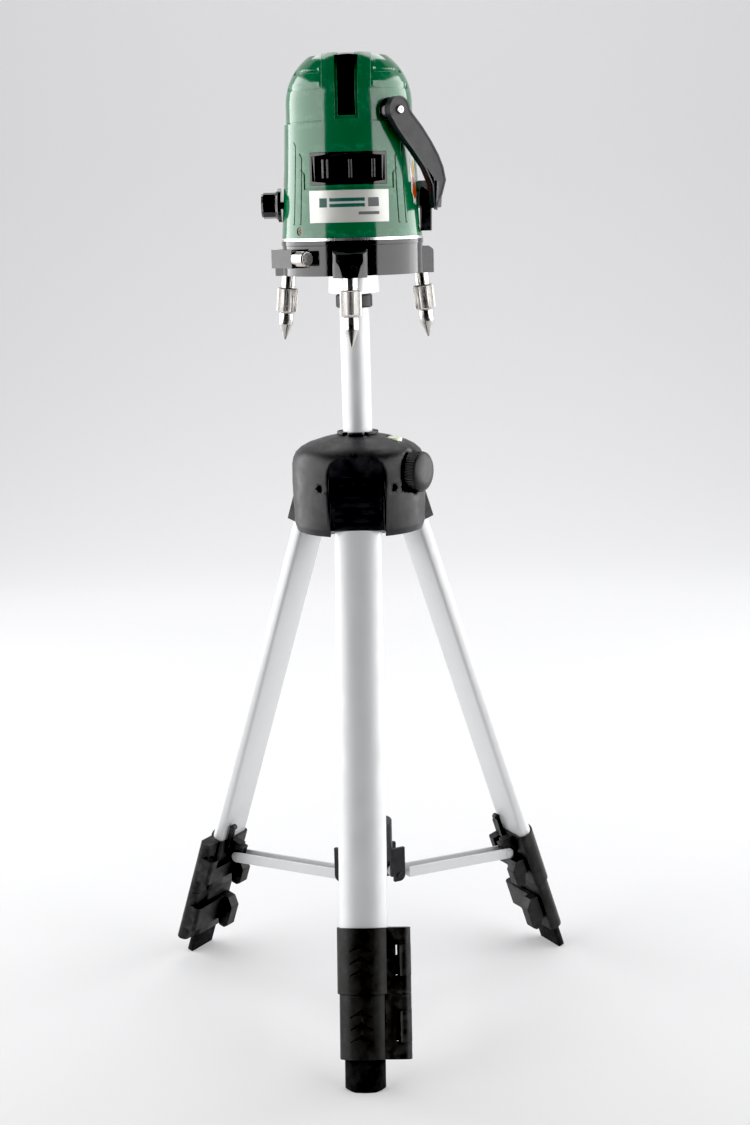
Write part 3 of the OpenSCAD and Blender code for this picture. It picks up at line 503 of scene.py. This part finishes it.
def levelling_feet():
    """Bright screws with a finely knurled collar and a blunt turned point."""
    lug_r, lug_z, teeth, knurl = 61.5, 597, 54, 0.32
    profile = [
        (5.65, -13.0, 0), (5.65, 8.0, 0), (5.35, 8.4, 0), (5.35, 9.6, 0), (6.2, 10.0, 0),
        (7.4, 10.0, 0), (8.0, 10.6, 0), (8.2, 11.0, knurl), (8.2, 28.2, knurl),
        (8.0, 28.6, 0), (7.4, 29.2, 0), (5.75, 29.2, 0), (5.45, 29.7, 0), (5.75, 30.2, 0),
        (5.75, 38.8, 0), (5.5, 39.4, 0), (3.2, 45.4, 0), (1.3, 50.6, 0), (0.9, 51.7, 0),
        (0.4, 51.8, 0),
    ]
    for leg, azimuth in LEGS.items():
        node = "levelling_foot_" + leg
        origin = outward_at(azimuth) * lug_r * MM + up_by(lug_z)
        place = axis_frame(origin, JOINT[node]["axis"])
        obj = turned(node + "_turned", profile, place, teeth * 4)
        finish_piece(obj, node)
        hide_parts(node)


def lock_knob():
    """The column's lock knob, with fine ribs round its grip and a dished cap."""
    azimuth, teeth, rib = 60.0, 44, 0.55
    origin = Vector((0.0, 0.0, JOINT["column_lock_turn"]["pos_m"][2]))
    profile = [
        (3.0, 12.1, 0), (3.0, 49.5, 0), (14.6, 49.5, 0), (15.4, 49.8, 0), (15.7, 50.3, 0),
        (15.95, 51.0, rib), (15.95, 58.6, rib), (15.6, 59.6, rib * 0.6), (15.1, 60.4, 0),
        (13.9, 61.4, 0), (12.0, 62.3, 0), (9.0, 62.9, 0), (6.0, 63.1, 0), (2.0, 63.2, 0),
    ]
    place = axis_frame(origin, outward_at(azimuth))
    obj = turned("column_lock_knob_ribbed", profile, place, teeth * 4)
    finish_piece(obj, "column_lock_knob")
    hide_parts("column_lock_knob")


def handle():
    """The carry handle: a narrow rim stands round the sunk outer face of each arm."""
    obj = refine("carry_handle", 0)
    face_out, rim, step, sunk = 61.0, 1.5, 0.25, 0.3      # in mm
    side = Vector(JOINT["handle_swing"]["axis"]).normalized()
    bm = bmesh.new()
    bm.from_mesh(obj.data)
    for sign in (1, -1):
        flat = [f for f in bm.faces
                if f.normal.dot(side * sign) > 0.999
                and abs(f.calc_center_median().dot(side * sign) - face_out * MM) < 0.2 * MM]
        for width, depth in ((rim, 0.0), (step, -sunk)):
            bmesh.ops.inset_region(bm, faces=flat, thickness=width * MM, depth=depth * MM,
                                   use_even_offset=True, use_boundary=True)
    hard = [e for e in bm.edges if e.is_manifold and e.calc_face_angle() > math.radians(50)]
    round_edges(bm, hard, 0.5)
    bm.to_mesh(obj.data)
    bm.free()
    obj.data.set_sharp_from_angle(angle=math.radians(34))


# ---------------------------------------------------------------- printed and stuck-on marks

SKIN_R = 55.0            # the laser head's radius where marks are laid, in mm


class Skin:
    """The outer surface of a CAD node, for laying thin marks on it."""

    def __init__(self, node):
        bm = bmesh.new()
        bm.from_mesh(NODES[node].data)
        self.tree = BVHTree.FromBMesh(bm)
        bm.free()

    def point(self, azimuth, z, lift):
        """The surface point at an azimuth and height, lifted off it, in mm and degrees."""
        outward = outward_at(azimuth)
        well_outside = 120
        start = outward * well_outside * MM + up_by(z)
        hit = self.tree.ray_cast(start, -outward)[0]
        return (hit if hit else outward * SKIN_R * MM + up_by(z)) + outward * lift * MM


def mark(name, skin, node, outline, material, centre=(0.0, 0.0), lift=0.0, thick=0.14):
    """A thin sheet laid on a surface. The outline is [(mm along the arc, height), ...]."""
    rings, sunk = 5, 0.02
    bm = bmesh.new()
    middle = (sum(p[0] for p in outline) / len(outline), sum(p[1] for p in outline) / len(outline))

    def corner(x, y, height):
        azimuth = centre[0] + math.degrees(x / SKIN_R)
        return bm.verts.new(skin.point(azimuth, centre[1] + y, height))

    def layer(height, share):
        return [corner(middle[0] + (u - middle[0]) * share, middle[1] + (v - middle[1]) * share,
                       height) for u, v in outline]

    rows = [layer(lift + thick, k / rings) for k in range(1, rings + 1)]
    peak = corner(*middle, lift + thick)
    rows.append(layer(lift - sunk, 1.0))
    count = len(outline)
    for k in range(count):
        bm.faces.new((peak, rows[0][k], rows[0][(k + 1) % count]))
    for inner, outer in zip(rows, rows[1:]):
        for k in range(count):
            nxt = (k + 1) % count
            bm.faces.new((inner[k], outer[k], outer[nxt], inner[nxt]))
    bmesh.ops.recalc_face_normals(bm, faces=bm.faces)
    obj = built(name, bm)
    smooth(obj, 50, weighted=False)
    finish_piece(obj, node, material)


def bar(x1, x2, z1, z2):
    """A rectangle's outline with points along its long sides, so that it can bend."""
    parts = 6
    low = [(x1 + (x2 - x1) * k / parts, z1) for k in range(parts + 1)]
    return low + [(x, z2) for x, _ in reversed(low)]


def blob(width, height, waves):
    """A wavy oval outline."""
    points, outline = 40, []
    for k in range(points):
        t = 2 * math.pi * k / points
        r = 1 + 0.09 * math.sin(waves * t + 0.6)
        outline.append((width / 2 * r * math.cos(t), height / 2 * r * math.sin(t)))
    return outline


def plate_marks():
    """Plain shapes on the nameplate where a maker would print its own marks."""
    plate = Skin("nameplate")
    left, right, low, high = -23.6, 24.0, 649.4, 656.2
    rows = (
        ("icon", "dark", (left, left + 6.4, low, high)),
        ("bar_upper", "dark", (left + 8.4, 12.6, high - 2.6, high)),
        ("bar_lower", "dark", (left + 8.4, 12.6, low, low + 2.6)),
        ("square", "grey", (15.2, right, low, high)),
        ("line", "grey", (7.5, right, 643.6, 645.8)),
    )
    for name, ink, edges in rows:
        mark("plate_" + name, plate, "nameplate", bar(*edges), PRINT[ink], thick=0.06)


def stickers():
    """Two stickers with plain coloured patches on the head's sides."""
    shell = Skin("housing_shell")
    patch_lift = 0.1
    rows = (
        ("right", blob(10.5, 39, 9), "white", (69.0, 670.0), 0.0),
        ("right_top", blob(6.5, 12, 5), "yellow", (69.5, 677.0), patch_lift),
        ("right_middle", blob(5.0, 5, 4), "orange", (68.0, 668.6), patch_lift),
        ("right_low", blob(7.5, 12, 6), "orange", (69.5, 660.5), patch_lift),
        ("left", blob(9, 12, 5), "white", (-84.0, 670.0), 0.0),
        ("left_patch", blob(5, 6, 4), "orange", (-84.0, 670.0), patch_lift),
    )
    for name, outline, ink, centre, lift in rows:
        mark("sticker_" + name, shell, "housing_shell", outline, PRINT[ink], centre, lift)


def lenses():
    """Three upright rod lenses that stand behind the window's rim, in front of its glass."""
    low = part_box("front_glass")[0]
    coated = moulded_plastic("lens_glass", (0.004, 0.004, 0.005), 0.26, depth=0.01)
    for k, (x, radius) in enumerate(((-17.5, 3.0), (1.5, 1.7), (19.0, 1.7))):
        end_r = radius - 0.4
        profile = [(end_r, 1.4, 0), (radius, 1.8, 0), (radius, 15.6, 0), (end_r, 16.0, 0)]
        place = Matrix.Translation((x * MM, low.y - (radius * 0.5) * MM, low.z))
        finish_piece(turned("lens_%d" % k, profile, place, 24), "front_glass", coated)


def ring_ticks():
    """Fine dark ticks round the graduated ring, longer every ten degrees."""
    low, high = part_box("graduated_ring")
    spacing, half_width = 2, 0.09
    foot = low.z + 0.25 * MM
    bm = bmesh.new()
    for k in range(360 // spacing):
        t = math.radians(k * spacing)
        outward = outward_at(k * spacing)
        across = Vector((math.cos(t), math.sin(t), 0.0)) * half_width * MM
        top = foot + (1.5 if k % 5 == 0 else 0.9) * MM
        near = [(high.x + 0.03 * MM, side, z) for z in (foot, top) for side in (-1, 1)]
        far = [(high.x - 0.05 * MM, side, z) for z in (foot, top) for side in (-1, 1)]
        v = [bm.verts.new(outward * r + across * side + Vector((0, 0, z)))
             for r, side, z in near + far]
        for quad in ((0, 1, 3, 2), (5, 4, 6, 7), (4, 0, 2, 6), (1, 5, 7, 3), (2, 3, 7, 6),
                     (4, 5, 1, 0)):
            bm.faces.new([v[i] for i in quad])
    bmesh.ops.recalc_face_normals(bm, faces=bm.faces)
    finish_piece(built("ring_ticks", bm), "graduated_ring", PRINT["grey"])


refine_all()
levelling_feet()
lock_knob()
handle()
plate_marks()
stickers()
lenses()
ring_ticks()


# ---------------------------------------------------------------- studio

def studio():
    """A pale seamless sweep behind and under the tripod."""
    bm = bmesh.new()
    reach, back, radius, height = 9.0, 3.4, 1.6, 6.0
    profile = [(-6.0, 0.0), (back - radius, 0.0)]
    steps = 16
    for k in range(1, steps + 1):
        t = math.pi / 2 * k / steps
        profile.append((back - radius + radius * math.sin(t), radius - radius * math.cos(t)))
    profile.append((back, height))
    rows = [[bm.verts.new((x, y, z)) for y, z in profile] for x in (-reach, reach)]
    for k in range(len(profile) - 1):
        bm.faces.new((rows[0][k], rows[1][k], rows[1][k + 1], rows[0][k + 1]))
    sweep = built("sweep", bm)
    sweep.data.shade_smooth()
    sweep_paper(sweep)


def sweep_paper(sweep):
    """Pale paper that glows a little, more towards the back."""
    pale = (0.47, 0.47, 0.475)
    s = Shader("sweep_paper", pale, 0.8)
    place = s.node("ShaderNodeSeparateXYZ", Vector=s.place)
    paper = s.mix(s.remap(s.noise(0.8, 3), 0.3, 0.7, 0.0, 1.0), pale, (0.49, 0.49, 0.492))
    seen = s.node("ShaderNodeLightPath").outputs["Is Camera Ray"]
    unseen = s.maths("SUBTRACT", 1.0, seen)
    # the floor in front of the tripod is kept dark in reflections
    in_front = s.remap(place.outputs["Y"], -0.55, -0.75, 0.0, 1.0)
    dark = s.maths("MULTIPLY", unseen, in_front)
    s.set(Base_Color=s.mix(dark, paper, (0.01, 0.01, 0.01)))
    glow = s.remap(place.outputs["Y"], -0.3, 1.6, 0.16, 0.52)
    glow = s.maths("MULTIPLY", glow, s.maths("SUBTRACT", 1.0, dark))
    # seen from the other sides, the far floor stays as pale as the back wall
    ahead = s.remap(place.outputs["Y"], -0.5, -1.3, 0.0, 0.5)
    aside = s.remap(s.maths("ABSOLUTE", place.outputs["X"], 0.0), 1.05, 1.3, 0.0, 0.5)
    far = s.maths("MULTIPLY", s.maths("MAXIMUM", ahead, aside), seen)
    s.set(Emission_Color=(0.97, 0.97, 0.985, 1.0),
          Emission_Strength=s.maths("MAXIMUM", glow, far))
    paint(sweep, s.material)


def soft_light(name, place, target, size, power):
    data = bpy.data.lights.new(name, "AREA")
    data.shape = "RECTANGLE"
    data.size, data.size_y = size
    data.energy = power
    lamp = link(bpy.data.objects.new(name, data))
    lamp.location = place
    aim = Vector(target) - Vector(place)
    lamp.rotation_euler = aim.to_track_quat("-Z", "Y").to_euler()


def lights():
    """A soft wall on each side, a soft box above and behind, and a sky that lights little."""
    world = bpy.data.worlds.new("studio")
    bpy.context.scene.world = world
    world.use_nodes = True
    sky = world.node_tree.nodes["Background"]
    sky.inputs["Color"].default_value = (0.93, 0.95, 1.0, 1.0)
    nodes, wires = world.node_tree.nodes, world.node_tree.links
    seen = nodes.new("ShaderNodeLightPath").outputs["Is Camera Ray"]
    glow = nodes.new("ShaderNodeMapRange")
    glow.inputs["To Min"].default_value = 0.05
    glow.inputs["To Max"].default_value = 0.8
    wires.new(seen, glow.inputs["Value"])
    wires.new(glow.outputs["Result"], sky.inputs["Strength"])
    for name, x, power in (("wall_left", -1.25, 45), ("wall_right", 1.25, 42)):
        soft_light(name, (x, -0.12, 0.8), (0.0, -0.12, 0.8), (2.6, 1.5), power)
    soft_light("box_top", (0.0, 0.9, 2.1), (0.0, 0.0, 0.55), (1.6, 1.0), 16)


def camera():
    """The viewing position, turned a little to the object's right and tipped down."""
    distance, height = 1.4328, 0.6442
    pitch, roll, yaw, turn = (math.radians(d) for d in (10.98, -1.476, -0.446, -2.293))
    side = Vector((math.cos(yaw), math.sin(yaw), 0.0))
    ahead = Vector((-math.sin(yaw), math.cos(yaw), 0.0))
    forward = ahead * math.cos(pitch) - Vector((0, 0, 1)) * math.sin(pitch)
    up = ahead * math.sin(pitch) + Vector((0, 0, 1)) * math.cos(pitch)
    right_axis = side * math.cos(roll) + up * math.sin(roll)
    up_axis = up * math.cos(roll) - side * math.sin(roll)
    basis = Matrix((right_axis, up_axis, -forward)).transposed().to_4x4()
    data = bpy.data.cameras.new("camera")
    data.sensor_width = 36.0
    data.lens = 57.58
    data.clip_start, data.clip_end = 0.05, 40.0
    cam = link(bpy.data.objects.new("camera", data))
    stand = Matrix.Translation((0.0, -distance, height)) @ basis
    cam.matrix_world = Matrix.Rotation(-turn, 4, "Z") @ stand
    bpy.context.scene.camera = cam


studio()
lights()
camera()

grade = bpy.context.scene.view_settings
grade.view_transform = "Standard"
grade.use_curve_mapping = True
grade.curve_mapping.black_level = (0.012, 0.012, 0.012)
grade.curve_mapping.update()
